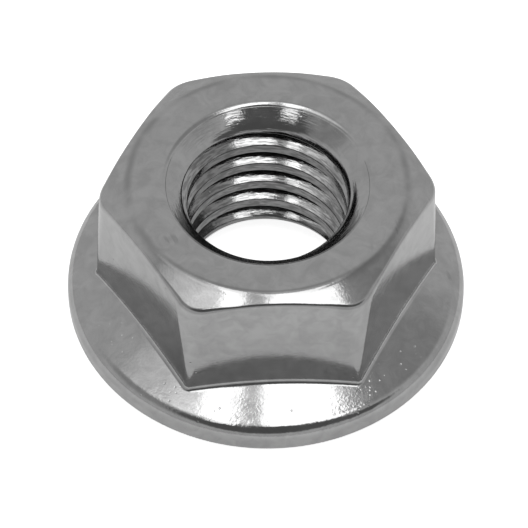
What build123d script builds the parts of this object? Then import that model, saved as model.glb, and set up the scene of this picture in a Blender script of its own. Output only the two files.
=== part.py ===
"""Serrated flange nut, M8 x 1.25, with a hexagon 12.9 mm across its flats on a 17.4 mm flange.

All sizes are in millimetres and degrees. The origin is the centre of the bearing face, with +Z along the
bore towards the hexagon's top, so the lands of the serrations lie on z = 0. The nut is forged and tapped
from one piece of steel, so it is one solid. Its bore is plain, at the thread's minor diameter.
"""

import os
from math import cos, radians, sin, sqrt, tan

from build123d import *

# Bore and its two countersinks
THREAD_MINOR_DIAMETER = 6.9
TOP_COUNTERSINK_DIAMETER = 9.0
TOP_COUNTERSINK_ANGLE = 108.0
BOTTOM_COUNTERSINK_DIAMETER = 8.3
BOTTOM_COUNTERSINK_ANGLE = 90.0

# Hexagon
NUT_HEIGHT = 7.85
ACROSS_FLATS = 12.9
TOP_FACE_DIAMETER = 11.9
TOP_CHAMFER_ANGLE = 28.0
TOP_EDGE_RADIUS = 0.15
CORNER_RADIUS_AT_TOP = 1.6
CORNER_RADIUS_AT_FLANGE = 0.1
HEXAGON_ROOT_RADIUS = 0.15

# Flange
FLANGE_DIAMETER = 17.4
FLANGE_SLOPE = 21.0
FLANGE_EDGE_HEIGHT = 1.43
FLANGE_UPPER_EDGE_RADIUS = 0.75
FLANGE_LOWER_EDGE_RADIUS = 0.3

# Bearing face: dished inside the serrations and relieved outside them
BEARING_DIAMETER = 16.0
BEARING_RELIEF_HEIGHT = 0.4
DISH_DIAMETER = 10.6
DISH_DEPTH = 0.2

# Serrations: ratchet teeth that slide as the nut is tightened and bite as it is turned back
TOOTH_COUNT = 30
TOOTH_DEPTH = 0.3
TOOTH_LAND_SHARE = 0.2
TOOTH_STEEP_ANGLE = 75.0

# Worked out from the sizes above
BORE_RADIUS = THREAD_MINOR_DIAMETER / 2
FLANGE_RADIUS = FLANGE_DIAMETER / 2
CORNER_TO_AXIS = ACROSS_FLATS / sqrt(3)
HALF_CORNER = 30.0
TOOTH_ANGLE = 360.0 / TOOTH_COUNT
RAMP_END_ANGLE = TOOTH_ANGLE * (1 - TOOTH_LAND_SHARE)
CUT_MARGIN = 0.5


def flange_height(radius):
    """Height of the flange's upper cone at a distance from the axis."""
    return FLANGE_EDGE_HEIGHT + (FLANGE_RADIUS - radius) * tan(radians(FLANGE_SLOPE))


def chamfer_height(radius):
    """Height of the hexagon's top chamfer at a distance from the axis."""
    return NUT_HEIGHT - (radius - TOP_FACE_DIAMETER / 2) * tan(radians(TOP_CHAMFER_ANGLE))


def countersink_depth(mouth_diameter, included_angle):
    """Depth below its mouth at which a countersink has narrowed to the bore."""
    return (mouth_diameter / 2 - BORE_RADIUS) / tan(radians(included_angle / 2))


TOP_COUNTERSINK_DEPTH = countersink_depth(TOP_COUNTERSINK_DIAMETER, TOP_COUNTERSINK_ANGLE)
BOTTOM_COUNTERSINK_DEPTH = countersink_depth(BOTTOM_COUNTERSINK_DIAMETER, BOTTOM_COUNTERSINK_ANGLE)


def bent_edges(solid):
    """Edges of a solid that are neither straight nor circular."""
    return solid.edges().filter_by(GeomType.LINE, reverse=True).filter_by(GeomType.CIRCLE, reverse=True)


# Corner cutter: what forging leaves unfilled at a corner, almost nothing at the flange and most at the top
with BuildPart() as corner_cutter:
    for height, radius in (
        (FLANGE_EDGE_HEIGHT, CORNER_RADIUS_AT_FLANGE),
        (NUT_HEIGHT, CORNER_RADIUS_AT_TOP),
    ):
        side = radius * tan(radians(HALF_CORNER))
        inset = side * sin(radians(HALF_CORNER))
        spread = side * cos(radians(HALF_CORNER))
        crown = radius / cos(radians(HALF_CORNER)) - radius
        with BuildSketch(Plane.XY.offset(height)):
            with BuildLine():
                Polyline(
                    (CORNER_TO_AXIS - inset, -spread),
                    (CORNER_TO_AXIS, 0),
                    (CORNER_TO_AXIS - inset, spread),
                )
                ThreePointArc(
                    (CORNER_TO_AXIS - inset, spread),
                    (CORNER_TO_AXIS - crown, 0),
                    (CORNER_TO_AXIS - inset, -spread),
                )
            make_face()
    loft(ruled=True)

# Gullet cutter: a sector of the bearing face under a steep plane and a ramp. Both planes pass through the
# origin, so the valley between two teeth narrows and grows shallow towards the axis.
ramp_end = Vector(cos(radians(RAMP_END_ANGLE)), sin(radians(RAMP_END_ANGLE)), 0)
valley = Vector(FLANGE_RADIUS, TOOTH_DEPTH / tan(radians(TOOTH_STEEP_ANGLE)), TOOTH_DEPTH)
steep_plane = Plane((0, 0, 0), x_dir=(1, 0, 0), z_dir=Vector(1, 0, 0).cross(valley))
ramp_plane = Plane((0, 0, 0), x_dir=ramp_end, z_dir=valley.cross(ramp_end))
inner_reach = DISH_DIAMETER / 2 - CUT_MARGIN
outer_reach = FLANGE_RADIUS + CUT_MARGIN
spread = tan(radians(RAMP_END_ANGLE))
with BuildPart() as gullet_cutter:
    with BuildSketch(Plane.XY.offset(-CUT_MARGIN)):
        with BuildLine():
            Polyline(
                (inner_reach, 0),
                (outer_reach, 0),
                (outer_reach, outer_reach * spread),
                (inner_reach, inner_reach * spread),
                close=True,
            )
        make_face()
    extrude(amount=2 * CUT_MARGIN)
    split(bisect_by=steep_plane, keep=Keep.BOTTOM)
    split(bisect_by=ramp_plane, keep=Keep.BOTTOM)

with BuildPart() as flange_nut:
    # Hexagon with softened corners, under a cone that leaves its top face round
    with BuildSketch(Plane.XY.offset(FLANGE_EDGE_HEIGHT)):
        RegularPolygon(ACROSS_FLATS / 2, 6, major_radius=False)
    extrude(amount=NUT_HEIGHT - FLANGE_EDGE_HEIGHT)
    with PolarLocations(0, 6):
        add(corner_cutter.part, mode=Mode.SUBTRACT)
    with BuildSketch(Plane.XZ):
        with BuildLine():
            Polyline(
                (0, 0),
                (CORNER_TO_AXIS, 0),
                (CORNER_TO_AXIS, chamfer_height(CORNER_TO_AXIS)),
                (TOP_FACE_DIAMETER / 2, NUT_HEIGHT),
                (0, NUT_HEIGHT),
                close=True,
            )
        make_face()
    revolve(axis=Axis.Z, mode=Mode.INTERSECT)

    # Flange: a cone down to a rounded rim, over the dished and relieved bearing face
    with BuildSketch(Plane.XZ) as flange_section:
        with BuildLine():
            Polyline(
                (0, DISH_DEPTH),
                (DISH_DIAMETER / 2 - DISH_DEPTH, DISH_DEPTH),
                (DISH_DIAMETER / 2, 0),
                (BEARING_DIAMETER / 2, 0),
                (FLANGE_RADIUS, BEARING_RELIEF_HEIGHT),
                (FLANGE_RADIUS, FLANGE_EDGE_HEIGHT),
                (0, flange_height(0)),
                close=True,
            )
        make_face()
        rim_corners = flange_section.vertices().sort_by(Axis.X)[-2:]
        fillet(rim_corners.sort_by(Axis.Y)[-1], FLANGE_UPPER_EDGE_RADIUS)
        rim_corners = flange_section.vertices().sort_by(Axis.X)[-2:]
        fillet(rim_corners.sort_by(Axis.Y)[0], FLANGE_LOWER_EDGE_RADIUS)
    revolve(axis=Axis.Z)

    # Fillet where the hexagon grows out of the flange, and a soft edge round the top chamfer
    root_edges = bent_edges(flange_nut).filter_by_position(
        Axis.Z, FLANGE_EDGE_HEIGHT, flange_height(BORE_RADIUS)
    )
    fillet(root_edges, HEXAGON_ROOT_RADIUS)
    chamfer_edges = bent_edges(flange_nut).filter_by_position(
        Axis.Z, chamfer_height(FLANGE_RADIUS), NUT_HEIGHT
    )
    fillet(chamfer_edges, TOP_EDGE_RADIUS)

    # Bore with a countersink at each end
    with BuildSketch(Plane.XZ):
        with BuildLine():
            Polyline(
                (0, 0),
                (BOTTOM_COUNTERSINK_DIAMETER / 2, 0),
                (BOTTOM_COUNTERSINK_DIAMETER / 2, DISH_DEPTH),
                (BORE_RADIUS, DISH_DEPTH + BOTTOM_COUNTERSINK_DEPTH),
                (BORE_RADIUS, NUT_HEIGHT - TOP_COUNTERSINK_DEPTH),
                (TOP_COUNTERSINK_DIAMETER / 2, NUT_HEIGHT),
                (0, NUT_HEIGHT),
                close=True,
            )
        make_face()
    revolve(axis=Axis.Z, mode=Mode.SUBTRACT)

    # Serrations, with the middle of one land on the X axis
    with PolarLocations(0, TOOTH_COUNT, start_angle=-TOOTH_ANGLE * (1 - TOOTH_LAND_SHARE / 2)):
        add(gullet_cutter.part, mode=Mode.SUBTRACT)

flange_nut.part.label = "flange_nut"
os.makedirs("parts", exist_ok=True)
export_step(flange_nut.part, "parts/flange_nut.step")
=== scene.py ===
"""Serrated flange nut in bright plated steel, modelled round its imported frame.

One piece is made here. It replaces the frame's plain nut and adds what the frame leaves out: the thread in
the bore, the soft roundings that forging and plating leave on each edge, and the finish. Its mesh is
worked in millimetres on the frame's axes, with the bearing face on z = 0, and brought to metres at the end.
The finish, the lamps and the room are in metres. Angles are in degrees unless a docstring says otherwise.
"""

import logging
import math
from abc import ABC, abstractmethod
from collections.abc import Callable, Sequence
from dataclasses import dataclass, field
from enum import Enum
from functools import cached_property

import bmesh
import bpy
from mathutils import Euler, Matrix, Vector


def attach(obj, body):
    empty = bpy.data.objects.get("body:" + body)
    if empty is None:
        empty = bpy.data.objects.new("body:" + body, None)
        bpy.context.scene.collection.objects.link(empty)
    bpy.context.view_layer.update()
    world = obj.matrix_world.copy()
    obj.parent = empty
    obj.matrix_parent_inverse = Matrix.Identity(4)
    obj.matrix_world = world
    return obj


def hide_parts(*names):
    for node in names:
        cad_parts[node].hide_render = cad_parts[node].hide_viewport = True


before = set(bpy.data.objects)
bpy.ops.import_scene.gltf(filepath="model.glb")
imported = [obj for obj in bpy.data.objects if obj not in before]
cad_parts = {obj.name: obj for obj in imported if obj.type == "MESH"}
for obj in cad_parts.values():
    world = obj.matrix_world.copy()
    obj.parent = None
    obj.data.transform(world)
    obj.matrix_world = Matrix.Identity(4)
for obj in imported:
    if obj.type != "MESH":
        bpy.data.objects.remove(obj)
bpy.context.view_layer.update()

LOG = logging.getLogger("flange_nut")
MILLIMETRE = 0.001
UP = Vector((0.0, 0.0, 1.0))
SIDES = 6
SIDE_ANGLE = 60.0
HALF_SIDE_ANGLE = 30.0
WELD = 2e-4
WHITE = (1.0, 1.0, 1.0, 1.0)

Mesh = bmesh.types.BMesh
Socket = bpy.types.NodeSocket
Sockets = bpy.types.NodeOutputs
Numbers = tuple[float, ...]
Value = float | Numbers | Socket | None


def polar(radius: float, azimuth: float, height: float) -> Vector:
    """Point at a distance from the axis, an angle round it from +X and a height above the bearing face."""
    turn = math.radians(azimuth)
    return Vector((radius * math.cos(turn), radius * math.sin(turn), height))


def azimuth_of(point: Vector) -> float:
    """Angle of a point round the axis from +X, from 0 to 360."""
    return math.degrees(math.atan2(point.y, point.x)) % 360.0


def radius_of(point: Vector) -> float:
    """Distance of a point from the axis."""
    return math.hypot(point.x, point.y)


def slope_of(angle: float) -> float:
    """Rise for each millimetre along a slope."""
    return math.tan(math.radians(angle))


def mix(first: float, second: float, share: float) -> float:
    """Number a share of the way from the first to the second."""
    return first + (second - first) * share


def eased(share: float) -> float:
    """Share held between 0 and 1, with a soft start and end."""
    held = min(max(share, 0.0), 1.0)
    return held * held * (3.0 - 2.0 * held)


def cone_normal(slope: float, azimuth: float) -> Vector:
    """Outward unit normal of a cone that falls from the axis by a slope, past 90 where it faces down."""
    tilt = math.radians(slope)
    return polar(math.sin(tilt), azimuth, math.cos(tilt))


def add_object(mesh: Mesh, name: str) -> bpy.types.Object:
    """Put a finished mesh into the scene as an object, and free it.

    Args:
        mesh: The mesh, in metres and in its place.
        name: Name of the object.

    Returns:
        The object, at the origin.
    """
    data = bpy.data.meshes.new(name)
    mesh.to_mesh(data)
    mesh.free()
    thing = bpy.data.objects.new(name, data)
    bpy.context.scene.collection.objects.link(thing)
    return thing


class Bend(Enum):
    """Which way a rounding turns: over an edge, or into a root."""

    EDGE = 1.0
    ROOT = -1.0


@dataclass(frozen=True)
class Rounding:
    """Rounding of the meeting line of two surfaces, as a rolled ball leaves it."""

    radius: float
    steps: int
    bend: Bend = Bend.EDGE
    guard: float = 0.02

    def points(self, corner: Vector, first: Vector, second: Vector, growth: float = 1.0) -> list[Vector]:
        """Points across the rounding, with one guard point on each flat side of it.

        Args:
            corner: Where the two surfaces would meet if sharp.
            first: Outward unit normal of the surface that the points start on.
            second: Outward unit normal of the surface that they end on.
            growth: How many times larger the rounding is here than elsewhere.

        Returns:
            The points, steps + 3 of them.
        """
        reach = self.radius * self.bend.value * growth
        centre = corner - (first + second) * (reach / (1.0 + first.dot(second)))
        arc = [centre + first.slerp(second, step / self.steps) * reach for step in range(self.steps + 1)]
        away = (corner - arc[0]).normalized() * -self.guard
        onward = (arc[-1] - corner).normalized() * self.guard
        return [arc[0] + away, *arc, arc[-1] + onward]


@dataclass(frozen=True)
class NutSizes:
    """Sizes of the nut."""

    height: float = 7.85
    across_flats: float = 12.9
    top_face_radius: float = 5.95
    chamfer_slope: float = 28.0
    corner_radius_at_top: float = 1.6
    corner_radius_at_flange: float = 0.1
    flange_radius: float = 8.7
    flange_slope: float = 21.0
    flange_edge_height: float = 1.43
    bearing_radius: float = 8.0
    relief_height: float = 0.4
    dish_radius: float = 5.3
    dish_depth: float = 0.2
    top_mouth_radius: float = 4.5
    top_mouth_slope: float = 36.0
    bottom_mouth_radius: float = 4.15
    bottom_mouth_slope: float = 45.0

    @property
    def relief_slope(self) -> float:
        """Rise of the relieved face outside the serrations."""
        return math.degrees(math.atan2(self.relief_height, self.flange_radius - self.bearing_radius))

    def flange_height(self, radius: float) -> float:
        """Height of the flange's upper cone at a distance from the axis."""
        return self.flange_edge_height + (self.flange_radius - radius) * slope_of(self.flange_slope)

    def chamfer_height(self, radius: float) -> float:
        """Height of the hexagon's top chamfer at a distance from the axis."""
        return self.height - (radius - self.top_face_radius) * slope_of(self.chamfer_slope)


@dataclass(frozen=True)
class HexagonOutline:
    """Outline of the hexagon in 360 stations, whose corners soften towards the top."""

    sizes: NutSizes
    arc_steps: int = 4
    flat_steps: int = 52
    worn_reach: float = 0.6
    worn_fade: float = 0.5
    meeting_rounds: int = 6

    @property
    def side_stations(self) -> int:
        """Number of stations along one side, with the half corner at each end of it."""
        return 2 * self.arc_steps + self.flat_steps

    @property
    def stations(self) -> int:
        """Number of stations round the outline."""
        return SIDES * self.side_stations

    @property
    def rise(self) -> float:
        """Height from the flange's edge to the top face."""
        return self.sizes.height - self.sizes.flange_edge_height

    def corner_radius(self, height: float) -> float:
        """Rounding of the hexagon's corners at a height."""
        share = (height - self.sizes.flange_edge_height) / self.rise
        return mix(self.sizes.corner_radius_at_flange, self.sizes.corner_radius_at_top, share)

    def nearness(self, azimuth: float) -> float:
        """How near a direction is to a corner: 0 over most of a side, 1 at the corner."""
        aside = abs((azimuth + HALF_SIDE_ANGLE) % SIDE_ANGLE - HALF_SIDE_ANGLE) / HALF_SIDE_ANGLE
        return eased((self.worn_reach - aside) / self.worn_fade)

    def at(self, station: int, height: float) -> tuple[Vector, Vector]:
        """Point of the outline and the surface's normal there.

        Args:
            station: Station number, counted from the corner on +X.
            height: Height above the bearing face.

        Returns:
            The point and the outward unit normal.
        """
        sixth, step = divmod(station, self.side_stations)
        corner = sixth * SIDE_ANGLE
        radius = self.corner_radius(height)
        half_side_cosine = math.cos(math.radians(HALF_SIDE_ANGLE))
        centre_reach = (self.sizes.across_flats / 2 - radius) / half_side_cosine
        along = step - self.arc_steps
        if 0 <= along <= self.flat_steps:
            share = 0.5 - 0.5 * math.cos(math.pi * along / self.flat_steps)
            facing = cone_normal(90.0, corner + HALF_SIDE_ANGLE)
            start = polar(centre_reach, corner, height)
            end = polar(centre_reach, corner + SIDE_ANGLE, height)
            return start.lerp(end, share) + facing * radius, facing
        if along > self.flat_steps:
            corner += SIDE_ANGLE
            step -= self.side_stations
        turn = HALF_SIDE_ANGLE * step / self.arc_steps
        facing = cone_normal(90.0, corner + turn)
        point = polar(centre_reach, corner, height) + facing * radius
        gain = (self.sizes.corner_radius_at_top - self.sizes.corner_radius_at_flange) / self.rise
        lean = gain * (math.cos(math.radians(turn)) / half_side_cosine - 1.0)
        return point, (facing + UP * lean).normalized()

    def meet(self, station: int, surface: Callable[[float], float], guess: float) -> tuple[Vector, Vector]:
        """Where the hexagon's side meets a surface turned round the axis.

        Args:
            station: Station number.
            surface: Height of that surface at a distance from the axis.
            guess: A height near the meeting point.

        Returns:
            The point and the side's outward unit normal there.
        """
        height = guess
        for _ in range(self.meeting_rounds):
            point, _ = self.at(station, height)
            height = surface(radius_of(point))
        return self.at(station, height)


@dataclass(frozen=True)
class Serrations:
    """Ratchet teeth of the bearing face.

    A tooth's stations stand at the middle of its land, at the land's steep edge, along the valley and at
    the top of its ramp. The offsets are how far each stands from there, so that the creases stay crisp.
    """

    sizes: NutSizes
    count: int = 30
    depth: float = 0.3
    land_share: float = 0.2
    steep_angle: float = 75.0
    offsets: Numbers = (0.0, -0.07, 0.0, 0.05, -0.05, 0.0, 0.08, 3.1, 6.1, -0.08, 0.0, 0.08)

    @property
    def pitch(self) -> float:
        """Angle from one tooth to the next."""
        return 360.0 / self.count

    @property
    def half_land(self) -> float:
        """Half the angle of a tooth's land."""
        return self.pitch * self.land_share / 2

    @property
    def foot(self) -> float:
        """Width of a tooth's steep side seen from below, at the flange's edge."""
        return self.depth / slope_of(self.steep_angle)

    @property
    def valley(self) -> float:
        """Angle from a tooth's steep edge to the valley beside it."""
        return math.degrees(math.atan2(self.foot, self.sizes.flange_radius))

    def azimuth(self, station: int) -> float:
        """Angle of a station round the axis.

        Args:
            station: Station number, counted from the middle of a land on +X.

        Returns:
            The angle.
        """
        tooth, step = divmod(station, len(self.offsets))
        steep = self.half_land
        low = steep + self.valley
        ramp = self.pitch - self.half_land
        creases = (0.0, steep, steep, steep, low, low, low, low, low, ramp, ramp, ramp)
        return tooth * self.pitch + (creases[step] + self.offsets[step])

    def steepness(self, azimuth: float) -> float:
        """Height of the gullet's roof for each millimetre from the axis, or 0 on a land.

        Args:
            azimuth: Angle round the axis.

        Returns:
            The roof's height divided by its distance from the axis.
        """
        turn = azimuth % self.pitch - self.half_land
        span = self.pitch - 2 * self.half_land
        if not 0.0 < turn < span:
            return 0.0
        steep = slope_of(self.steep_angle) * math.sin(math.radians(turn))
        reach = math.hypot(self.sizes.flange_radius, self.foot)
        fall = self.depth / (reach * math.sin(math.radians(span - self.valley)))
        return min(steep, fall * math.sin(math.radians(span - turn)))


@dataclass(frozen=True)
class ThreadForm:
    """Metric internal thread, M8 x 1.25, right-handed."""

    pitch: float = 1.25
    crest_radius: float = 3.45
    root_radius: float = 4.0
    crest_width: float = 0.459
    flank_angle: float = 30.0
    crest_height: float = 5.62
    crest_rounding: Rounding = Rounding(0.05, 3, guard=0.012)
    root_rounding: Rounding = Rounding(0.07, 3, Bend.ROOT, guard=0.012)
    steps_round: int = 160

    def corners(self, low: float, high: float) -> list[tuple[Vector, Rounding]]:
        """Sharp corners of the thread's outline on the XZ plane, from the bottom up.

        Args:
            low: Height that the outline starts below.
            high: Height that it ends above.

        Returns:
            Each corner with its rounding.
        """
        half = self.crest_width / 2
        foot = half + (self.root_radius - self.crest_radius) * slope_of(self.flank_angle)
        tooth = (
            (self.root_radius, -foot, self.root_rounding),
            (self.crest_radius, -half, self.crest_rounding),
            (self.crest_radius, half, self.crest_rounding),
            (self.root_radius, foot, self.root_rounding),
        )
        first = math.floor((low - self.crest_height) / self.pitch)
        last = math.ceil((high - self.crest_height) / self.pitch)
        return [
            (Vector((radius, 0.0, self.crest_height + turn * self.pitch + offset)), rounding)
            for turn in range(first, last + 1)
            for radius, offset, rounding in tooth
        ]

    def outline(self, low: float, high: float) -> list[Vector]:
        """Outline of the thread on the XZ plane with its crests and roots softened.

        Args:
            low: Height that the outline starts below.
            high: Height that it ends above.

        Returns:
            The points from the bottom up.
        """
        corners = self.corners(low, high)
        inward = Matrix.Rotation(math.radians(-90.0), 3, "Y")
        points = []
        for (before, _), (corner, rounding), (after, _) in zip(corners, corners[1:], corners[2:]):
            below = (corner - before).normalized()
            above = (after - corner).normalized()
            points += rounding.points(corner, inward @ below, inward @ above)
        return points


@dataclass
class SkinGrower:
    """Grows a skin outwards from a closed loop, one extruded loop at a time."""

    mesh: Mesh
    loop: list[bmesh.types.BMVert]

    @property
    def turns(self) -> list[float]:
        """Angle of each vertex of the current loop round the axis."""
        return [azimuth_of(vert.co) for vert in self.loop]

    def edges(self) -> list[bmesh.types.BMEdge]:
        """Edges of the current loop.

        Returns:
            The edges, each from the vertex of its own place to the next.
        """
        ahead = [*self.loop[1:], self.loop[0]]
        return [
            next(edge for edge in vert.link_edges if edge.other_vert(vert) is after)
            for vert, after in zip(self.loop, ahead)
        ]

    def grow(self, places: Sequence[Vector]) -> None:
        """Extrude the loop and lay the new one on the given places.

        Args:
            places: One place for each vertex of the loop, in its order.
        """
        grown = bmesh.ops.extrude_edge_only(self.mesh, edges=self.edges())["geom"]
        fresh = {part for part in grown if isinstance(part, bmesh.types.BMVert)}
        self.loop = [
            next(edge.other_vert(vert) for edge in vert.link_edges if edge.other_vert(vert) in fresh)
            for vert in self.loop
        ]
        self.settle(places)

    def settle(self, places: Sequence[Vector]) -> None:
        """Lay the current loop on the given places, one for each vertex."""
        for vert, place in zip(self.loop, places, strict=True):
            vert.co = place

    def grow_section(self, section: Sequence[Vector], turns: Sequence[float]) -> None:
        """Grow a section that is the same all round the axis.

        Args:
            section: Points of the section on the XZ plane, one for each new loop.
            turns: Angle of each vertex of the loop round the axis.
        """
        for point in section:
            self.grow([polar(point.x, turn, point.z) for turn in turns])

    def grow_round(self, corner: Vector, first: float, second: float, rounding: Rounding) -> None:
        """Grow across a rounding that runs round the axis, keeping each vertex's azimuth.

        Args:
            corner: Sharp corner on the XZ plane.
            first: Slope of the surface that the skin comes from.
            second: Slope of the surface that it goes to.
            rounding: How the corner is rounded.
        """
        section = rounding.points(corner, cone_normal(first, 0.0), cone_normal(second, 0.0))
        self.grow_section(section, self.turns)


@dataclass
class ThreadedBore:
    """Bore of the nut: the thread and the countersink at each end.

    The thread is turned past both ends of the nut and cut back just inside them. A fine turned groove runs
    round the top countersink, just inside its lip.
    """

    sizes: NutSizes
    form: ThreadForm = field(default_factory=ThreadForm)
    thread_start: float = -1.4
    thread_end: float = 9.2
    step: float = 0.07
    blend: float = 0.17
    run_out_start: float = 6.95
    run_out_end: float = 7.5
    top_cut: float = 7.7
    bottom_cut: float = 0.26
    cut_slack: float = 1e-4
    rim_slack: float = 0.001
    groove_radius: float = 4.36
    groove_offsets: Numbers = (-0.03, -0.02, -0.008, 0.006, 0.016, 0.022)
    groove_depths: Numbers = (0.0, 0.0, 0.02, 0.02, 0.0, 0.0)
    lip_rounding: Rounding = Rounding(0.4, 8, guard=0.004)
    mouth_rounding: Rounding = Rounding(0.06, 4, guard=0.003)

    def mouth_radius(self, height: float) -> float:
        """Radius of whichever countersink is the wider at a height.

        Args:
            height: Height above the bearing face.

        Returns:
            The radius.
        """
        sizes = self.sizes
        down = (sizes.height - height) / slope_of(sizes.top_mouth_slope)
        up = (height - sizes.dish_depth) / slope_of(sizes.bottom_mouth_slope)
        return max(sizes.top_mouth_radius - down, sizes.bottom_mouth_radius - up)

    def _open_out(self, mesh: Mesh) -> None:
        """Run the thread out at the top and widen the bore to its countersinks, with a soft meeting line.

        Args:
            mesh: The bore, with its thread turned.
        """
        for vert in mesh.verts:
            turned, cone = radius_of(vert.co), self.mouth_radius(vert.co.z)
            run = (self.run_out_end - vert.co.z) / (self.run_out_end - self.run_out_start)
            cut = mix(self.form.crest_radius, turned, eased(run))
            soft = self.blend * math.log1p(math.exp(-abs(cut - cone) / self.blend))
            wide = max(cut, cone) + soft
            vert.co.x *= wide / turned
            vert.co.y *= wide / turned

    def _grow_lip(self, upper: SkinGrower) -> None:
        """Grow the top lip: the groove in the countersink, then the rounding to the top face.

        Args:
            upper: Grower on the bore's upper loop.
        """
        sizes = self.sizes
        section = []
        for offset, depth in zip(self.groove_offsets, self.groove_depths):
            reach = self.groove_radius + offset
            fall = (sizes.top_mouth_radius - reach) * slope_of(sizes.top_mouth_slope)
            section.append(Vector((reach, 0.0, sizes.height - fall - depth)))
        upper.grow_section(section, upper.turns)
        lip = Vector((sizes.top_mouth_radius, 0.0, sizes.height))
        upper.grow_round(lip, -sizes.top_mouth_slope, 0.0, self.lip_rounding)

    def _stepped(self, outline: list[Vector]) -> list[Vector]:
        """Outline in short steps, so that a countersink can cut it cleanly.

        Args:
            outline: Points of the thread's outline, from the bottom up.

        Returns:
            The same outline with more points.
        """
        stepped = [outline[0]]
        for before, after in zip(outline, outline[1:]):
            count = max(1, math.ceil((after - before).length / self.step))
            stepped += [before.lerp(after, share / count) for share in range(1, count + 1)]
        return stepped

    def _trim(self, mesh: Mesh, height: float, keep_below: bool) -> None:
        """Cut the bore level and drop what is past the cut.

        Args:
            mesh: The bore.
            height: Height of the cut.
            keep_below: Keep the lower part if true, else the upper.
        """
        bmesh.ops.bisect_plane(
            mesh,
            geom=[*mesh.verts, *mesh.edges, *mesh.faces],
            dist=self.cut_slack,
            plane_co=UP * height,
            plane_no=UP,
            clear_outer=keep_below,
            clear_inner=not keep_below,
        )

    def _rim(self, mesh: Mesh, height: float) -> SkinGrower:
        """Find the open loop at one end of the bore.

        Args:
            mesh: The bore.
            height: Height of that end.

        Returns:
            A grower on the loop.
        """
        onward = next(
            edge
            for edge in mesh.edges
            if edge.is_boundary and abs(edge.verts[0].co.z - height) < self.rim_slack
        )
        loop = [onward.verts[0]]
        while (after := onward.other_vert(loop[-1])) is not loop[0]:
            loop.append(after)
            onward = next(edge for edge in after.link_edges if edge.is_boundary and edge is not onward)
        return SkinGrower(mesh, loop)

    def build(self, mesh: Mesh) -> tuple[SkinGrower, SkinGrower]:
        """Turn the thread, cut it level and grow the lip at each end.

        Args:
            mesh: Empty mesh that takes the bore.

        Returns:
            The growers at the bore's upper and lower lip.
        """
        outline = self._stepped(self.form.outline(self.thread_start, self.thread_end))
        verts = [mesh.verts.new(point) for point in outline]
        edges = [mesh.edges.new(pair) for pair in zip(verts, verts[1:])]
        bmesh.ops.spin(
            mesh,
            geom=[*verts, *edges],
            cent=(0.0, 0.0, 0.0),
            axis=UP,
            dvec=UP * (self.form.pitch / self.form.steps_round),
            angle=math.tau,
            steps=self.form.steps_round,
        )
        bmesh.ops.remove_doubles(mesh, verts=mesh.verts[:], dist=WELD)
        self._open_out(mesh)
        self._trim(mesh, self.top_cut, keep_below=True)
        self._trim(mesh, self.bottom_cut, keep_below=False)
        upper = self._rim(mesh, self.top_cut)
        lower = self._rim(mesh, self.bottom_cut)
        self._grow_lip(upper)
        mouth = Vector((self.sizes.bottom_mouth_radius, 0.0, self.sizes.dish_depth))
        lower.grow_round(mouth, self.sizes.bottom_mouth_slope - 180.0, -180.0, self.mouth_rounding)
        return upper, lower


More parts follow.
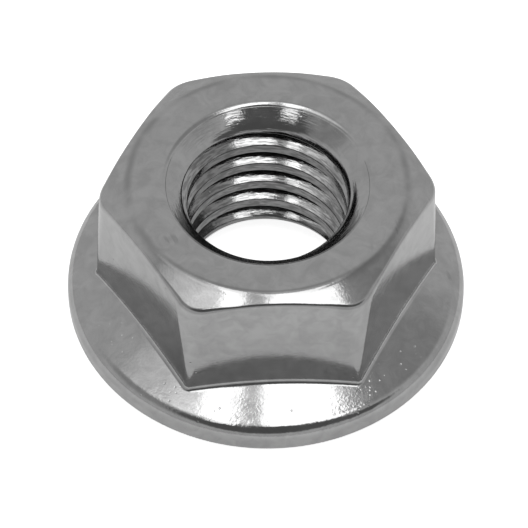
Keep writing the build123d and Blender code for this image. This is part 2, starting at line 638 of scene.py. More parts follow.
@dataclass
class NutBody:
    """The whole nut as one closed skin: hexagon, flange, serrated bearing face and threaded bore.

    The shares say where the loops lie on each surface, from the line that the skin comes from to the line
    that it goes to.
    """

    sizes: NutSizes = field(default_factory=NutSizes)
    top_rounding: Rounding = Rounding(0.75, 8, guard=0.02)
    chamfer_rounding: Rounding = Rounding(0.2, 8, guard=0.012)
    corner_wear: float = 0.9
    root_rounding: Rounding = Rounding(0.25, 7, Bend.ROOT, guard=0.012)
    root_guess: float = 2.0
    rim_rounding: Rounding = Rounding(0.75, 14, guard=0.02)
    foot_rounding: Rounding = Rounding(0.3, 7, guard=0.01)
    top_land: float = 0.6
    lip_land: float = 0.15
    tooth_guard: float = 0.008
    chamfer_shares: Numbers = (0.35, 0.7)
    side_shares: Numbers = (0.12, 0.24, 0.36, 0.48, 0.6, 0.7, 0.78, 0.85, 0.91, 0.96)
    cone_shares: Numbers = (0.02, 0.07, 0.15, 0.26, 0.38, 0.5, 0.62, 0.74, 0.85, 0.94)
    relief_shares: Numbers = (0.3, 0.65)
    tooth_shares: Numbers = (0.0, 0.003, 0.2, 0.4, 0.6, 0.8, 0.997, 1.0)
    dish_shares: Numbers = (0.15, 0.85, 1.0)
    dish_floor_insets: Numbers = (0.01, 0.3)

    def __post_init__(self) -> None:
        """Lay out the hexagon's outline and the serrations."""
        self.outline = HexagonOutline(self.sizes)
        self.serrations = Serrations(self.sizes)
        self.stations = range(self.outline.stations)

    def _start(self, mesh: Mesh) -> SkinGrower:
        """Start the outer skin with a loop on the top face.

        Args:
            mesh: Mesh that takes the skin.

        Returns:
            A grower on that loop.
        """
        radius = self.sizes.top_face_radius - self.top_land
        made = bmesh.ops.create_circle(mesh, cap_ends=False, segments=len(self.stations), radius=radius)
        skin = SkinGrower(mesh, made["verts"])
        turns = [azimuth_of(self.outline.at(i, self.sizes.height)[0]) for i in self.stations]
        skin.settle([polar(radius, turn, self.sizes.height) for turn in turns])
        return skin

    def _grow_hexagon(self, skin: SkinGrower) -> None:
        """Grow over the chamfer, down the six sides and into the root.

        Args:
            skin: Grower on the loop on the top face.
        """
        sizes = self.sizes
        corner = Vector((sizes.top_face_radius, 0.0, sizes.height))
        skin.grow_round(corner, 0.0, sizes.chamfer_slope, self.top_rounding)

        brow, foot = [], []
        for i in self.stations:
            edge, facing = self.outline.meet(i, sizes.chamfer_height, sizes.height)
            slope = cone_normal(sizes.chamfer_slope, azimuth_of(edge))
            growth = 1.0 + self.corner_wear * self.outline.nearness(azimuth_of(edge))
            brow.append(self.chamfer_rounding.points(edge, slope, facing, growth))
            root, facing = self.outline.meet(i, sizes.flange_height, self.root_guess)
            slope = cone_normal(sizes.flange_slope, azimuth_of(root))
            foot.append(self.root_rounding.points(root, facing, slope))

        inner = [vert.co.copy() for vert in skin.loop]
        for share in self.chamfer_shares:
            places = []
            for start, across in zip(inner, brow):
                reach = mix(radius_of(start), radius_of(across[0]), share)
                turn = azimuth_of(start.lerp(across[0], share))
                places.append(polar(reach, turn, sizes.chamfer_height(reach)))
            skin.grow(places)
        for loop in zip(*brow):
            skin.grow(loop)
        for share in self.side_shares:
            heights = [mix(brow[i][-1].z, foot[i][0].z, share) for i in self.stations]
            skin.grow([self.outline.at(i, height)[0] for i, height in enumerate(heights)])
        for loop in zip(*foot):
            skin.grow(loop)

    def _grow_flange(self, skin: SkinGrower) -> None:
        """Grow down the flange's cone, sliding the stations round to the teeth, and over its rim.

        Args:
            skin: Grower on the loop at the hexagon's root.
        """
        sizes = self.sizes
        section = self.rim_rounding.points(
            Vector((sizes.flange_radius, 0.0, sizes.flange_edge_height)),
            cone_normal(sizes.flange_slope, 0.0),
            cone_normal(90.0, 0.0),
        )
        starts = [(radius_of(vert.co), azimuth_of(vert.co)) for vert in skin.loop]
        turns = [self.serrations.azimuth(i) for i in self.stations]
        for share in self.cone_shares:
            places = []
            for (radius, start), turn in zip(starts, turns):
                reach = mix(radius, section[0].x, share)
                places.append(polar(reach, mix(start, turn, share), sizes.flange_height(reach)))
            skin.grow(places)
        skin.grow_section(section, turns)
        foot = Vector((sizes.flange_radius, 0.0, sizes.relief_height))
        skin.grow_round(foot, 90.0, 180.0 - sizes.relief_slope, self.foot_rounding)

    def _grow_bearing_face(self, skin: SkinGrower) -> None:
        """Grow in over the relieved face, the serrations and the dish.

        Args:
            skin: Grower on the loop under the flange's rim.
        """
        sizes = self.sizes
        rise = slope_of(sizes.relief_slope)
        turns = [self.serrations.azimuth(i) for i in self.stations]
        grooves = [self.serrations.steepness(turn) for turn in turns]
        outer = [sizes.bearing_radius / (1.0 - groove / rise) for groove in grooves]
        inner = [sizes.dish_radius / (1.0 + groove) for groove in grooves]
        start = radius_of(skin.loop[0].co)
        floor = sizes.dish_radius - sizes.dish_depth

        def grow_loop(reaches: Sequence[float], heights: Sequence[float]) -> None:
            """Grow one loop, with a reach and a height for each station."""
            skin.grow([polar(*place) for place in zip(reaches, turns, heights)])

        relieved = [[mix(start, edge, share) for edge in outer] for share in self.relief_shares]
        relieved.append([edge + self.tooth_guard for edge in outer])
        for reaches in relieved:
            grow_loop(reaches, [(reach - sizes.bearing_radius) * rise for reach in reaches])
        for share in self.tooth_shares:
            reaches = [mix(far, near, share) for far, near in zip(outer, inner)]
            grow_loop(reaches, [reach * groove for reach, groove in zip(reaches, grooves)])
        for share in self.dish_shares:
            reaches = [mix(edge, floor, share) for edge in inner]
            grow_loop(reaches, [sizes.dish_radius - reach for reach in reaches])
        section = [Vector((floor - inset, 0.0, sizes.dish_depth)) for inset in self.dish_floor_insets]
        skin.grow_section(section, turns)

    def _close(self, bore: SkinGrower, height: float, edges: list[bmesh.types.BMEdge]) -> None:
        """Close the flat face between an end of the bore and the outer skin.

        Args:
            bore: Grower at that end of the bore.
            height: Height of the face.
            edges: The outer skin's edges round it.
        """
        reach = radius_of(bore.loop[0].co) + self.lip_land
        bore.grow([polar(reach, turn, height) for turn in bore.turns])
        rims = [*bore.edges(), *edges]
        bmesh.ops.triangle_fill(bore.mesh, edges=rims, normal=UP, use_beauty=True)

    def build(self, name: str) -> bpy.types.Object:
        """Build the nut.

        Args:
            name: Name of the finished piece.

        Returns:
            The piece, placed by its mesh, in metres.
        """
        mesh = bmesh.new()
        lip, mouth = ThreadedBore(self.sizes).build(mesh)
        skin = self._start(mesh)
        top_edges = skin.edges()
        self._grow_hexagon(skin)
        self._grow_flange(skin)
        self._grow_bearing_face(skin)
        self._close(lip, self.sizes.height, top_edges)
        self._close(mouth, self.sizes.dish_depth, skin.edges())
        bmesh.ops.recalc_face_normals(mesh, faces=mesh.faces[:])
        bmesh.ops.scale(mesh, vec=(MILLIMETRE,) * 3, verts=mesh.verts[:])
        for face in mesh.faces:
            face.smooth = True
        open_edges = sum(not edge.is_manifold for edge in mesh.edges)
        triangles = sum(len(face.verts) - 2 for face in mesh.faces)
        LOG.info("%s: %d triangles, %d open edges", name, triangles, open_edges)
        return add_object(mesh, name)


@dataclass
class NodeBench:
    """A node tree with short ways to add and join its nodes."""

    tree: bpy.types.NodeTree

    @classmethod
    def cleared(cls, owner: bpy.types.Material | bpy.types.World) -> "NodeBench":
        """Clear the tree of a new material or world.

        Args:
            owner: The material or world.

        Returns:
            A bench on its tree.
        """
        owner.use_nodes = True
        owner.node_tree.nodes.clear()
        return cls(owner.node_tree)

    @cached_property
    def place(self) -> Socket:
        """Object coordinates of the piece that a material is on."""
        return self.add("ShaderNodeTexCoord").outputs["Object"]

    def add(
        self, kind: str, values: dict[str | int, Value] | None = None, **settings: str | bool | float
    ) -> bpy.types.Node:
        """Add a node.

        Args:
            kind: Type of node.
            values: A number to set, or a socket to join, for inputs by name or place. None leaves one out.
            settings: Settings of the node itself.

        Returns:
            The node.
        """
        node = self.tree.nodes.new(kind)
        for setting, choice in settings.items():
            setattr(node, setting, choice)
        for key, value in (values or {}).items():
            if isinstance(value, Socket):
                self.tree.links.new(value, node.inputs[key])
            elif value is not None:
                node.inputs[key].default_value = value
        return node

    def maths(self, operation: str, *values: Value, clamp: bool = False) -> Socket:
        """Add a Math node and give its result."""
        node = self.add("ShaderNodeMath", dict(enumerate(values)), operation=operation, use_clamp=clamp)
        return node.outputs[0]

    def vectors(self, operation: str, *values: Value, **named: Value) -> Socket:
        """Add a Vector Math node.

        Args:
            operation: What the node does.
            *values: Its vectors.
            **named: Its inputs that go by name.

        Returns:
            Its result, which is a number for a length.
        """
        inputs = {**dict(enumerate(values)), **named}
        node = self.add("ShaderNodeVectorMath", inputs, operation=operation)
        return node.outputs["Value" if operation == "LENGTH" else "Vector"]

    def noise(self, place: Value, scale: Value, **values: Value) -> Socket:
        """Add a Noise Texture node and give its number of 0 to 1."""
        return self.add("ShaderNodeTexNoise", {"Vector": place, "Scale": scale, **values}).outputs["Fac"]

    def turned(self, vector: Value, angle: Value) -> Socket:
        """Turn a vector about the vertical by an angle in radians."""
        node = self.add("ShaderNodeVectorRotate", {"Vector": vector, "Angle": angle}, rotation_type="Z_AXIS")
        return node.outputs["Vector"]

    def round_axis(self, place: Value) -> tuple[Socket, ...]:
        """Split a place up round the axis.

        Args:
            place: Coordinates of the place.

        Returns:
            Its X, its Y, its height and its distance from the axis.
        """
        across, along, up = self.add("ShaderNodeSeparateXYZ", {0: place}).outputs
        square = self.maths("MULTIPLY_ADD", across, across, self.maths("MULTIPLY", along, along))
        return across, along, up, self.maths("SQRT", square)

    def ramp_between(self, value: Value, low: float, high: float) -> Socket:
        """Number that rises from 0 where the value is low to 1 where it is high, easing in and out."""
        ends = {"Value": value, "From Min": low, "From Max": high}
        return self.add("ShaderNodeMapRange", ends, interpolation_type="SMOOTHSTEP").outputs["Result"]

    def blend_values(self, share: Value, first: Value, second: Value) -> Socket:
        """Number a share of the way from the first to the second."""
        return self.add("ShaderNodeMix", {0: share, 2: first, 3: second}, data_type="FLOAT").outputs[0]

    def grey(self, shade: Value) -> Socket:
        """Colour that is the same grey in all three channels."""
        return self.add("ShaderNodeCombineColor", {0: shade, 1: shade, 2: shade}).outputs[0]


class SurfaceEffect(ABC):
    """An effect that a finish lays over a piece, as a shader node group that is built once.

    Each effect names its group, its inputs beside Coordinates and its outputs. An input is given by the
    number that it holds at first, or by None where it is a vector.
    """

    name: str
    inputs: dict[str, float | None]
    outputs: tuple[str, ...] = ("Mask",)

    @abstractmethod
    def wire(self, bench: NodeBench, given: Sockets) -> tuple[Socket, ...]:
        """Join the nodes inside the group.

        Args:
            bench: Bench of the group.
            given: The group's inputs.

        Returns:
            A socket for each of the group's outputs, in order.
        """

    def group(self) -> bpy.types.ShaderNodeTree:
        """Node group of the effect, built when it is first asked for.

        Returns:
            The group.
        """
        if found := bpy.data.node_groups.get(self.name):
            return found
        tree = bpy.data.node_groups.new(self.name, "ShaderNodeTree")
        for name, value in {"Coordinates": None, **self.inputs}.items():
            kind = "NodeSocketVector" if value is None else "NodeSocketFloat"
            socket = tree.interface.new_socket(name=name, in_out="INPUT", socket_type=kind)
            if value is not None:
                socket.default_value = value
        for name in self.outputs:
            tree.interface.new_socket(name=name, in_out="OUTPUT", socket_type="NodeSocketFloat")
        bench = NodeBench(tree)
        results = self.wire(bench, bench.add("NodeGroupInput").outputs)
        bench.add("NodeGroupOutput", dict(zip(self.outputs, results, strict=True)))
        return tree

    def lay(self, bench: NodeBench, **values: Value) -> Sockets:
        """Lay the effect over a piece, with numbers or sockets for its inputs, and give its outputs."""
        inputs = {"Coordinates": bench.place, **values}
        return bench.add("ShaderNodeGroup", inputs, node_tree=self.group()).outputs


class HandlingSmudges(SurfaceEffect):
    """Cloudy handling marks: a mask of 0 to 1 round a middle of 0.5."""

    name = "Handling smudges"
    inputs = {"Scale": 400.0, "Contrast": 1.0}

    def wire(self, bench: NodeBench, given: Sockets) -> tuple[Socket, ...]:
        """Stretch a cloudy noise away from its middle.

        Args:
            bench: Bench of the group.
            given: The group's inputs.

        Returns:
            The mask.
        """
        cloud = bench.noise(given["Coordinates"], given["Scale"], Detail=5.0, Roughness=0.6, Distortion=0.8)
        centred = bench.maths("SUBTRACT", cloud, 0.5)
        stretched = bench.maths("MULTIPLY", centred, given["Contrast"])
        return (bench.maths("ADD", stretched, 0.5, clamp=True),)


class ScatteredPits(SurfaceEffect):
    """Small round pits scattered at random: a mask that is 1 in each pit.

    Share is how many of the places for a pit hold one, and Size is a pit's size beside the space for it.
    """

    name = "Scattered pits"
    inputs = {"Scale": 3000.0, "Share": 0.1, "Size": 0.3}
    flat_bottom = 0.3

    def wire(self, bench: NodeBench, given: Sockets) -> tuple[Socket, ...]:
        """Keep the cells that chance picks, and sink a pit in the middle of each.

        Args:
            bench: Bench of the group.
            given: The group's inputs.

        Returns:
            The mask.
        """
        cell_inputs = {"Vector": given["Coordinates"], "Scale": given["Scale"]}
        cells = bench.add("ShaderNodeTexVoronoi", cell_inputs).outputs
        chance = bench.add("ShaderNodeSeparateColor", {0: cells["Color"]}).outputs[0]
        chosen = bench.maths("LESS_THAN", chance, given["Share"])
        near = bench.maths("DIVIDE", cells["Distance"], given["Size"])
        return (bench.maths("MULTIPLY", bench.ramp_between(near, 1.0, self.flat_bottom), chosen),)


class PlatingGrain(SurfaceEffect):
    """Fine orange-peel grain of the plating, as a height of 0 to 1 round a middle of 0.5."""

    name = "Plating grain"
    inputs = {"Scale": 5000.0, "Patchiness": 0.5}
    outputs = ("Height",)
    patch_scale = 700.0
    patch_range = (0.35, 0.65)

    def wire(self, bench: NodeBench, given: Sockets) -> tuple[Socket, ...]:
        """Weaken a fine noise in patches.

        Args:
            bench: Bench of the group.
            given: The group's inputs.

        Returns:
            The height.
        """
        fine = bench.noise(given["Coordinates"], given["Scale"], Detail=2.0, Roughness=0.55)
        patches = bench.noise(given["Coordinates"], self.patch_scale, Detail=2.0)
        patch = bench.ramp_between(patches, *self.patch_range)
        strength = bench.blend_values(given["Patchiness"], 1.0, patch)
        centred = bench.maths("SUBTRACT", fine, 0.5)
        return (bench.maths("MULTIPLY_ADD", centred, strength, 0.5),)


class ToolMarks(SurfaceEffect):
    """Fine lines that the tap and the countersink leave round the bore.

    Height is the lines' height of 0 to 1. Mask is 1 in the bore and fades out at its lip. Thread is 1
    below the countersink only.
    """

    name = "Tool marks"
    inputs = {"Reach": 0.0044, "Pitch": 0.00125, "Fineness": 9000.0, "Length": 2200.0, "Ceiling": 0.0071}
    outputs = ("Height", "Mask", "Thread")
    lip_fade = 0.0001

    def wire(self, bench: NodeBench, given: Sockets) -> tuple[Socket, ...]:
        """Read a noise along the thread's turns, finely across them.

        Args:
            bench: Bench of the group.
            given: The group's inputs.

        Returns:
            The height and the two masks.
        """
        across, along, up, radius = bench.round_axis(given["Coordinates"])
        turn = bench.maths("DIVIDE", bench.maths("ARCTAN2", along, across), math.tau)
        climb = bench.maths("SUBTRACT", up, bench.maths("MULTIPLY", turn, given["Pitch"]))
        phase = bench.maths("FLOORED_MODULO", climb, given["Pitch"])
        ring = bench.maths("MULTIPLY", bench.maths("ADD", phase, radius), given["Fineness"])
        drawn = bench.vectors("SCALE", given["Coordinates"], Scale=given["Length"])
        lines = bench.add(
            "ShaderNodeTexNoise",
            {"Vector": drawn, "W": ring, "Scale": 1.0, "Detail": 1.0, "Roughness": 0.5},
            noise_dimensions="4D",
        )
        edge = bench.maths("SUBTRACT", given["Reach"], radius)
        mask = bench.ramp_between(edge, -self.lip_fade, self.lip_fade)
        under = bench.maths("LESS_THAN", up, given["Ceiling"])
        return lines.outputs["Fac"], mask, bench.maths("MULTIPLY", mask, under)


class SoftSpot(SurfaceEffect):
    """One place on the nut: a mask that is 1 at its centre and fades out at its reach."""

    name = "Soft spot"
    inputs = {"Centre": None, "Reach": None}
    full_share = 0.3

    def wire(self, bench: NodeBench, given: Sockets) -> tuple[Socket, ...]:
        """Measure how far out from the centre a point lies, as a share of the reach.

        Args:
            bench: Bench of the group.
            given: The group's inputs.

        Returns:
            The mask.
        """
        away = bench.vectors("SUBTRACT", given["Coordinates"], given["Centre"])
        share = bench.vectors("LENGTH", bench.vectors("DIVIDE", away, given["Reach"]))
        return (bench.ramp_between(share, 1.0, self.full_share),)


class BrokenRingBand(SurfaceEffect):
    """A ring round the axis, above Floor only: a mask that is 1 on the ring, broken up by noise."""

    name = "Broken ring band"
    inputs = {"Radius": 0.006, "Width": 0.0002, "Floor": 0.007}
    wander_scale = 500.0
    break_range = (0.3, 0.6)

    def wire(self, bench: NodeBench, given: Sockets) -> tuple[Socket, ...]:
        """Draw a ring that wanders a little from its radius.

        Args:
            bench: Bench of the group.
            given: The group's inputs.

        Returns:
            The mask.
        """
        _, _, up, distance = bench.round_axis(given["Coordinates"])
        wander = bench.noise(given["Coordinates"], self.wander_scale, Detail=3.0)
        shift = bench.maths("SUBTRACT", wander, 0.5)
        radius = bench.maths("MULTIPLY_ADD", shift, given["Width"], distance)
        off = bench.maths("ABSOLUTE", bench.maths("SUBTRACT", radius, given["Radius"]))
        line = bench.ramp_between(bench.maths("DIVIDE", off, given["Width"]), 1.0, 0.0)
        broken = bench.ramp_between(wander, *self.break_range)
        above = bench.maths("GREATER_THAN", up, given["Floor"])
        return (bench.maths("MULTIPLY", bench.maths("MULTIPLY", line, broken), above),)


class FineScratches(SurfaceEffect):
    """Fine short scratches that run one way: a mask that is 1 in each scratch."""

    name = "Fine scratches"
    inputs = {"Turn": 0.0, "Scale": 4000.0, "Share": 0.35}
    stretch = (0.12, 1.0, 1.0)
    edge = 0.03
    edge_width = 0.05

    def wire(self, bench: NodeBench, given: Sockets) -> tuple[Socket, ...]:
        """Keep the lowest parts of a noise that is drawn out one way.

        Args:
            bench: Bench of the group.
            given: The group's inputs.

        Returns:
            The mask.
        """
        turned = bench.turned(given["Coordinates"], given["Turn"])
        drawn = bench.vectors("MULTIPLY", turned, self.stretch)
        streaks = bench.noise(drawn, given["Scale"], Detail=1.0, Distortion=0.3)
        depth = bench.maths("SUBTRACT", bench.maths("ADD", given["Share"], self.edge), streaks)
        return (bench.maths("DIVIDE", depth, self.edge_width, clamp=True),)


@dataclass(frozen=True)
class WornSpot:
    """A place that has been knocked about: its centre and reach in millimetres, and how strongly."""

    centre: tuple[float, float, float]
    reach: tuple[float, float, float]
    strength: float

    def mask(self, bench: NodeBench) -> Socket:
        """Mask of the place in a material.

        Args:
            bench: Bench of the material.

        Returns:
            The mask, from 0 to the strength.
        """
        centre = tuple(value * MILLIMETRE for value in self.centre)
        reach = tuple(value * MILLIMETRE for value in self.reach)
        spot = SoftSpot().lay(bench, Centre=centre, Reach=reach)
        return bench.maths("MULTIPLY", spot["Mask"], self.strength)


@dataclass(frozen=True)
class PlatedSteel:
    """Bright plated steel: mirror-like, with a faint grain, knocks, tool lines and handling marks, and
    darker streaks in the thread that are partly dirt and partly painted shade.
    """

    name: str
    light_grey: float = 0.445
    dark_grey: float = 0.33
    # Grey of the darker broken ring round the top face's edge and of the scuffs.
    ring_and_scuff_grey: float = 0.27
    # Grey of the thread's darker streaks, partly dirt and partly painted shade in the bore.
    dirt_and_shade_grey: float = 0.2
    smooth: float = 0.06
    dull: float = 0.16
    grain_height: float = 2.6e-6
    line_height: float = 6e-6
    knock_depth: float = 8e-6
    ripple_height: float = 1.6e-5
    cloud_share: float = 0.45
    mottle_share: float = 0.55
    ring_strength: float = 0.9
    dirt_and_shade_strength: float = 0.8
    dirt_and_shade_range: tuple[float, float] = (0.6, 0.4)
    scratch_turn: float = 70.0
    stray_knocks: float = 0.012
    knocked_grain: float = 2.5
    knocked: tuple[WornSpot, ...] = (
        WornSpot((3.9, -6.2, 2.0), (1.2, 1.5, 0.8), 0.8),
        WornSpot((3.0, -7.4, 1.7), (1.2, 0.8, 0.6), 0.5),
        WornSpot((5.7, -5.0, 2.0), (1.3, 1.2, 0.7), 0.35),
        WornSpot((-4.6, -6.4, 1.7), (1.4, 1.2, 0.6), 0.5),
        WornSpot((-1.6, -7.4, 1.8), (1.4, 0.9, 0.6), 0.3),
        WornSpot((-6.7, -4.0, 1.8), (1.3, 2.4, 0.6), 0.22),
        WornSpot((5.0, 5.6, 1.9), (1.6, 1.6, 0.8), 0.3),
        WornSpot((-5.6, 5.2, 1.9), (1.4, 1.4, 0.8), 0.3),
    )
    scratched: tuple[WornSpot, ...] = (
        WornSpot((8.05, -1.0, 1.6), (0.35, 1.5, 0.6), 0.6),
        WornSpot((5.1, -2.7, 7.85), (1.1, 0.6, 0.5), 0.8),
        WornSpot((-4.2, -2.9, 7.85), (0.6, 0.4, 0.5), 0.6),
        WornSpot((-2.6, -6.4, 2.8), (1.2, 0.5, 0.9), 0.7),
        WornSpot((2.6, -6.4, 2.8), (1.2, 0.5, 0.7), 0.5),
        WornSpot((-1.0, 6.4, 4.4), (2.4, 0.6, 1.6), 0.35),
    )

    def _wear(self, bench: NodeBench, spots: Sequence[WornSpot]) -> Value:
        """Strength of wear over the nut, from the places that show it.

        Args:
            bench: Bench of the material.
            spots: Places that are worn.

        Returns:
            The largest mask at each point.
        """
        most: Value = 0.0
        for spot in spots:
            most = bench.maths("MAXIMUM", most, spot.mask(bench))
        return most

    def _shade(self, bench: NodeBench, lines: Sockets) -> Socket:
        """Grey of the plating: clouds and mottles, a darker broken ring and scuffs, and darker streaks in
        the thread, partly dirt and partly painted shade.

        Args:
            bench: Bench of the material.
            lines: The tool marks' outputs.

        Returns:
            The grey.
        """
        clouds = HandlingSmudges().lay(bench, Scale=260.0, Contrast=1.6)
        mottles = HandlingSmudges().lay(bench, Scale=1300.0, Contrast=3.6)
        broad = bench.maths("MULTIPLY", clouds["Mask"], self.cloud_share)
        cloudy = bench.maths("MULTIPLY_ADD", mottles["Mask"], self.mottle_share, broad)
        shade = bench.blend_values(cloudy, self.dark_grey, self.light_grey)

        # A darker broken ring on the rounded edge round the top face, and darker scuffs in the scratched
        # places.
        ring = BrokenRingBand().lay(bench, Radius=0.00602, Width=0.00028, Floor=0.0074)
        ringed = bench.maths("MULTIPLY", ring["Mask"], self.ring_strength)
        streaks = FineScratches().lay(bench, Turn=math.radians(self.scratch_turn))
        scuffed = bench.maths("MULTIPLY", streaks["Mask"], self._wear(bench, self.scratched))
        shade = bench.blend_values(bench.maths("MAXIMUM", ringed, scuffed), shade, self.ring_and_scuff_grey)

        # Darker streaks along the low tool lines below the countersink: partly dirt, partly painted shade in
        # the bore.
        low_lines = bench.ramp_between(lines["Height"], *self.dirt_and_shade_range)
        dirt_and_shade = bench.maths("MULTIPLY", low_lines, lines["Thread"])
        dirt_and_shade = bench.maths("MULTIPLY", dirt_and_shade, self.dirt_and_shade_strength)
        return bench.blend_values(dirt_and_shade, shade, self.dirt_and_shade_grey)

    def _relief(self, bench: NodeBench, lines: Sockets) -> Socket:
        """Normal of the plating: its grain, knocks, tool lines and the ripples along the flange's rim.

        Args:
            bench: Bench of the material.
            lines: The tool marks' outputs.

        Returns:
            The normal.
        """
        density = bench.maths("ADD", self._wear(bench, self.knocked), self.stray_knocks)
        knocks = ScatteredPits().lay(bench, Scale=4200.0, Share=density, Size=0.25)
        grain = PlatingGrain().lay(bench, Scale=9000.0, Patchiness=0.25)
        coarseness = bench.maths("MULTIPLY_ADD", density, self.knocked_grain, 1.0)
        brim = BrokenRingBand().lay(bench, Radius=0.0083, Width=0.0005, Floor=0.0011)
        ripples = PlatingGrain().lay(bench, Scale=3600.0, Patchiness=0.6)
        ripple = bench.maths("SUBTRACT", ripples["Height"], 0.5)
        shape: Socket | None = None
        for height, depth in (
            (bench.maths("MULTIPLY", grain["Height"], coarseness), self.grain_height),
            (bench.maths("SUBTRACT", 1.0, knocks["Mask"]), self.knock_depth),
            (bench.maths("MULTIPLY", lines["Height"], lines["Mask"]), self.line_height),
            (bench.maths("MULTIPLY", ripple, brim["Mask"]), self.ripple_height),
        ):
            values = {"Height": height, "Distance": depth, "Strength": 1.0, "Normal": shape}
            shape = bench.add("ShaderNodeBump", values).outputs["Normal"]
        return shape

    def material(self) -> bpy.types.Material:
        """Make the material.

        Returns:
            The material.
        """
        finish = bpy.data.materials.new(self.name)
        bench = NodeBench.cleared(finish)
        lines = ToolMarks().lay(bench)
        marks = HandlingSmudges().lay(bench, Scale=900.0, Contrast=2.0)
        steel = bench.add(
            "ShaderNodeBsdfPrincipled",
            {
                "Base Color": bench.grey(self._shade(bench, lines)),
                "Metallic": 1.0,
                "Roughness": bench.blend_values(marks["Mask"], self.smooth, self.dull),
                "Normal": self._relief(bench, lines),
            },
        )
        bench.add("ShaderNodeOutputMaterial", {"Surface": steel.outputs["BSDF"]})
        return finish


@dataclass(frozen=True)
class Softbox:
    """A level rectangular lamp overhead, with its place and size in metres and its glow."""

    name: str
    across: float
    along: float
    width: float
    length: float
    glow: float
    twist: float
    height: float = 1.0

    def hang(self, turn: float) -> None:
        """Hang the lamp.

        Args:
            turn: Turn of the whole studio about the vertical.
        """
        lamp = bpy.data.lights.new(self.name, "AREA")
        lamp.shape = "RECTANGLE"
        lamp.size = self.width
        lamp.size_y = self.length
        lamp.energy = self.glow * math.pi * lamp.size * lamp.size_y
        thing = bpy.data.objects.new(self.name, lamp)
        place = Matrix.Translation((self.across, self.along, self.height))
        twist = Matrix.Rotation(math.radians(self.twist), 4, "Z")
        thing.matrix_world = Matrix.Rotation(math.radians(turn), 4, "Z") @ place @ twist
        bpy.context.scene.collection.objects.link(thing)


@dataclass(frozen=True)
class PaperFloor:
    """White paper under the nut that keeps its shadow.

    The paper's grey paints shade round the nut: a painted shadow beside the flange, a painted pool of
    light a little way out, and a darker grey further out; the rings say where that painted grey changes.
    Its glow for the lens makes it plain white, and its glow for glossy rays adds to what the steel mirrors.
    From below it is clear.
    """

    radius: float = 3.0
    segments: int = 96
    drop: float = 0.02 * MILLIMETRE
    lens_glow: float = 0.88
    mirror_glow: float = 0.22
    # Painted grey of the paper: a painted shadow beside the flange, a painted pool of light further out,
    # darker again far out.
    flange_shadow_grey: float = 0.76
    light_pool_grey: float = 0.86
    far_dim_grey: float = 0.56
    shadow_edge_ring: tuple[float, float] = (0.009, 0.014)
    pool_edge_ring: tuple[float, float] = (0.014, 0.06)

    def paper(self) -> bpy.types.Material:
        """Make the paper's material.

        Returns:
            The material.
        """
        sheet = bpy.data.materials.new("white_paper")
        bench = NodeBench.cleared(sheet)
        path = bench.add("ShaderNodeLightPath").outputs
        mirrored = bench.maths("MAXIMUM", path["Is Glossy Ray"], path["Is Transmission Ray"])
        seen = bench.maths("MULTIPLY", path["Is Camera Ray"], self.lens_glow)
        seen = bench.maths("MULTIPLY_ADD", mirrored, self.mirror_glow, seen)
        # Painted shade in the paper's own grey: a painted shadow beside the flange, a painted pool of light
        # a little way out, darker far out.
        distance = bench.vectors("LENGTH", bench.place)
        beside = bench.ramp_between(distance, *self.shadow_edge_ring)
        near = bench.blend_values(beside, self.flange_shadow_grey, self.light_pool_grey)
        shade = bench.blend_values(bench.ramp_between(distance, *self.pool_edge_ring), near, self.far_dim_grey)
        matt = bench.add("ShaderNodeBsdfDiffuse", {"Color": bench.grey(shade)})
        glow = bench.add("ShaderNodeEmission", {"Color": WHITE, "Strength": seen})
        both = bench.add("ShaderNodeAddShader", {0: matt.outputs[0], 1: glow.outputs[0]})
        below = bench.add("ShaderNodeNewGeometry").outputs["Backfacing"]
        clear = bench.add("ShaderNodeBsdfTransparent")
        one_sided = bench.add("ShaderNodeMixShader", {0: below, 1: both.outputs[0], 2: clear.outputs[0]})
        bench.add("ShaderNodeOutputMaterial", {"Surface": one_sided.outputs[0]})
        return sheet

    def build(self) -> None:
        """Lay the floor just under the bearing face."""
        mesh = bmesh.new()
        bmesh.ops.create_circle(mesh, cap_ends=True, segments=self.segments, radius=self.radius)
        floor = add_object(mesh, "floor")
        floor.location.z = -self.drop
        floor.data.materials.append(self.paper())


@dataclass(frozen=True)
class RoomPatch:
    """Soft-edged patch of the room that is darker or lighter than the rest.

    Its bearing is counted from the camera's side, positive to the right, and its climb from the horizon.
    """

    bearing: float
    climb: float
    half_width: float
    half_height: float
    glow: float
    softness: float

    def lay_over(self, bench: NodeBench, room: Value, bearing: Socket, climb: Socket) -> Socket:
        """Lay the patch over the room's glow.

        Args:
            bench: Bench of the world.
            room: Glow of the room so far.
            bearing: Bearing that is looked along.
            climb: Angle above the horizon that is looked along.

        Returns:
            The glow with the patch.
        """
        across = bench.maths("WRAP", bench.maths("SUBTRACT", bearing, self.bearing), 180.0, -180.0)
        across = bench.maths("DIVIDE", across, self.half_width)
        along = bench.maths("DIVIDE", bench.maths("SUBTRACT", climb, self.climb), self.half_height)
        reach = bench.maths("ADD", bench.maths("POWER", across, 2.0), bench.maths("POWER", along, 2.0))
        share = bench.ramp_between(reach, 1.0 + self.softness, 1.0 - self.softness)
        return bench.blend_values(share, room, self.glow)


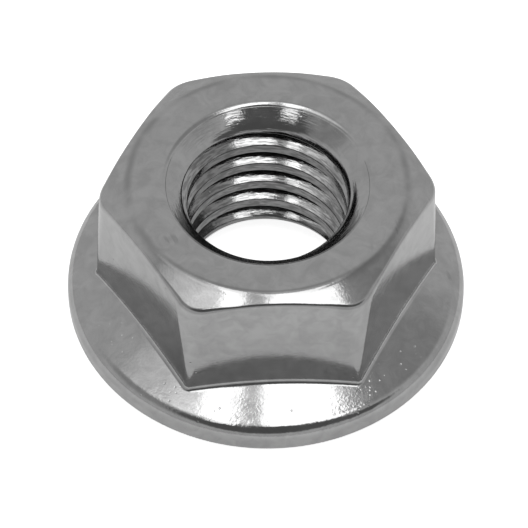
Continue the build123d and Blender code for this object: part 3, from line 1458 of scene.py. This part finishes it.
@dataclass(frozen=True)
class Room:
    """Soft light of the room, in patches laid one over the other, with plain white for the lens."""

    glow: float = 0.67
    patches: tuple[RoomPatch, ...] = (
        RoomPatch(104.0, 57.0, 38.0, 20.0, 0.41, 0.9),
        RoomPatch(-55.0, 45.0, 40.0, 22.0, 0.42, 0.8),
        RoomPatch(0.0, 78.0, 180.0, 10.0, 1.0, 0.9),
        RoomPatch(180.0, 67.0, 50.0, 6.0, 0.55, 0.8),
        RoomPatch(0.0, 43.0, 50.0, 25.0, 0.15, 0.3),
        RoomPatch(50.0, 29.0, 18.0, 12.0, 0.16, 0.6),
        RoomPatch(-76.0, 66.0, 36.0, 12.0, 1.15, 0.9),
        RoomPatch(-64.0, 71.0, 28.0, 8.0, 1.7, 0.9),
    )

    def build(self, turn: float) -> None:
        """Make the room the scene's world.

        Args:
            turn: Turn of the whole studio about the vertical.
        """
        world = bpy.data.worlds.new("studio_room")
        bench = NodeBench.cleared(world)
        way = bench.turned(bench.add("ShaderNodeTexCoord").outputs["Generated"], math.radians(-turn))
        across, along, up = bench.add("ShaderNodeSeparateXYZ", {0: way}).outputs
        climb = bench.maths("DEGREES", bench.maths("ARCSINE", up))
        bearing = bench.maths("ARCTAN2", across, bench.maths("MULTIPLY", along, -1.0))
        bearing = bench.maths("DEGREES", bearing)
        room: Value = self.glow
        for patch in self.patches:
            room = patch.lay_over(bench, room, bearing, climb)
        lens = bench.add("ShaderNodeLightPath").outputs["Is Camera Ray"]
        seen = bench.add("ShaderNodeMix", {0: lens, 6: bench.grey(room), 7: WHITE}, data_type="RGBA")
        air = bench.add("ShaderNodeBackground", {"Color": seen.outputs[2], "Strength": 1.0})
        bench.add("ShaderNodeOutputWorld", {"Surface": air.outputs[0]})
        bpy.context.scene.world = world


@dataclass(frozen=True)
class StudioCamera:
    """Camera in front of the nut and above it, aimed at the origin and then tilted, panned and rolled."""

    distance: float = 0.2086
    elevation: float = 52.4733
    trim: tuple[float, float, float] = (0.36843, 0.02733, 1.00613)
    lens: float = 322.61
    film_width: float = 36.0
    nearest: float = 0.01

    def build(self, turn: float) -> None:
        """Stand the camera in its place.

        Args:
            turn: Turn of the whole studio about the vertical.
        """
        data = bpy.data.cameras.new("camera")
        data.lens = self.lens
        data.sensor_width = self.film_width
        data.clip_start = self.nearest
        camera = bpy.data.objects.new("camera", data)
        bpy.context.scene.collection.objects.link(camera)
        reach = self.distance * math.cos(math.radians(self.elevation))
        height = self.distance * math.sin(math.radians(self.elevation))
        aim = Matrix.Rotation(math.radians(turn), 3, "Z")
        aim = aim @ Matrix.Rotation(math.radians(90.0 - self.elevation), 3, "X")
        aim = aim @ Euler([math.radians(angle) for angle in self.trim], "ZYX").to_matrix()
        camera.matrix_world = Matrix.Translation(polar(reach, turn - 90.0, height)) @ aim.to_4x4()
        bpy.context.scene.camera = camera


@dataclass(frozen=True)
class Studio:
    """The floor, the room, the overhead softboxes and the camera, turned together about the vertical."""

    turn: float = -3.6365
    floor: PaperFloor = PaperFloor()
    room: Room = Room()
    camera: StudioCamera = StudioCamera()
    softboxes: tuple[Softbox, ...] = (
        Softbox("softbox_left", -0.205, -0.25, 0.16, 0.82, 2.0, -10.0),
        Softbox("softbox_left_end", -0.375, -0.55, 0.07, 0.22, 2.0, -10.0),
        Softbox("softbox_right", 0.17, -0.20, 0.34, 0.50, 2.2, 6.0),
        Softbox("softbox_front", 0.448, -0.37, 0.232, 0.40, 2.2, 20.0),
    )

    def build(self) -> None:
        """Set up the whole studio."""
        self.floor.build()
        self.room.build(self.turn)
        for softbox in self.softboxes:
            softbox.hang(self.turn)
        self.camera.build(self.turn)
        bpy.context.scene.view_settings.view_transform = "Standard"


def main() -> None:
    """Build the nut and the studio, and log what the nut stands for."""
    logging.basicConfig(level=logging.INFO, format="%(name)s: %(message)s")
    nut = NutBody().build("nut_body")
    nut.data.materials.append(PlatedSteel("bright_plating").material())
    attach(nut, "root")
    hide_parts("flange_nut")
    LOG.info("%s rides on root and stands for flange_nut", nut.name)
    Studio().build()
    bpy.context.view_layer.update()


if __name__ == "__main__":
    main()
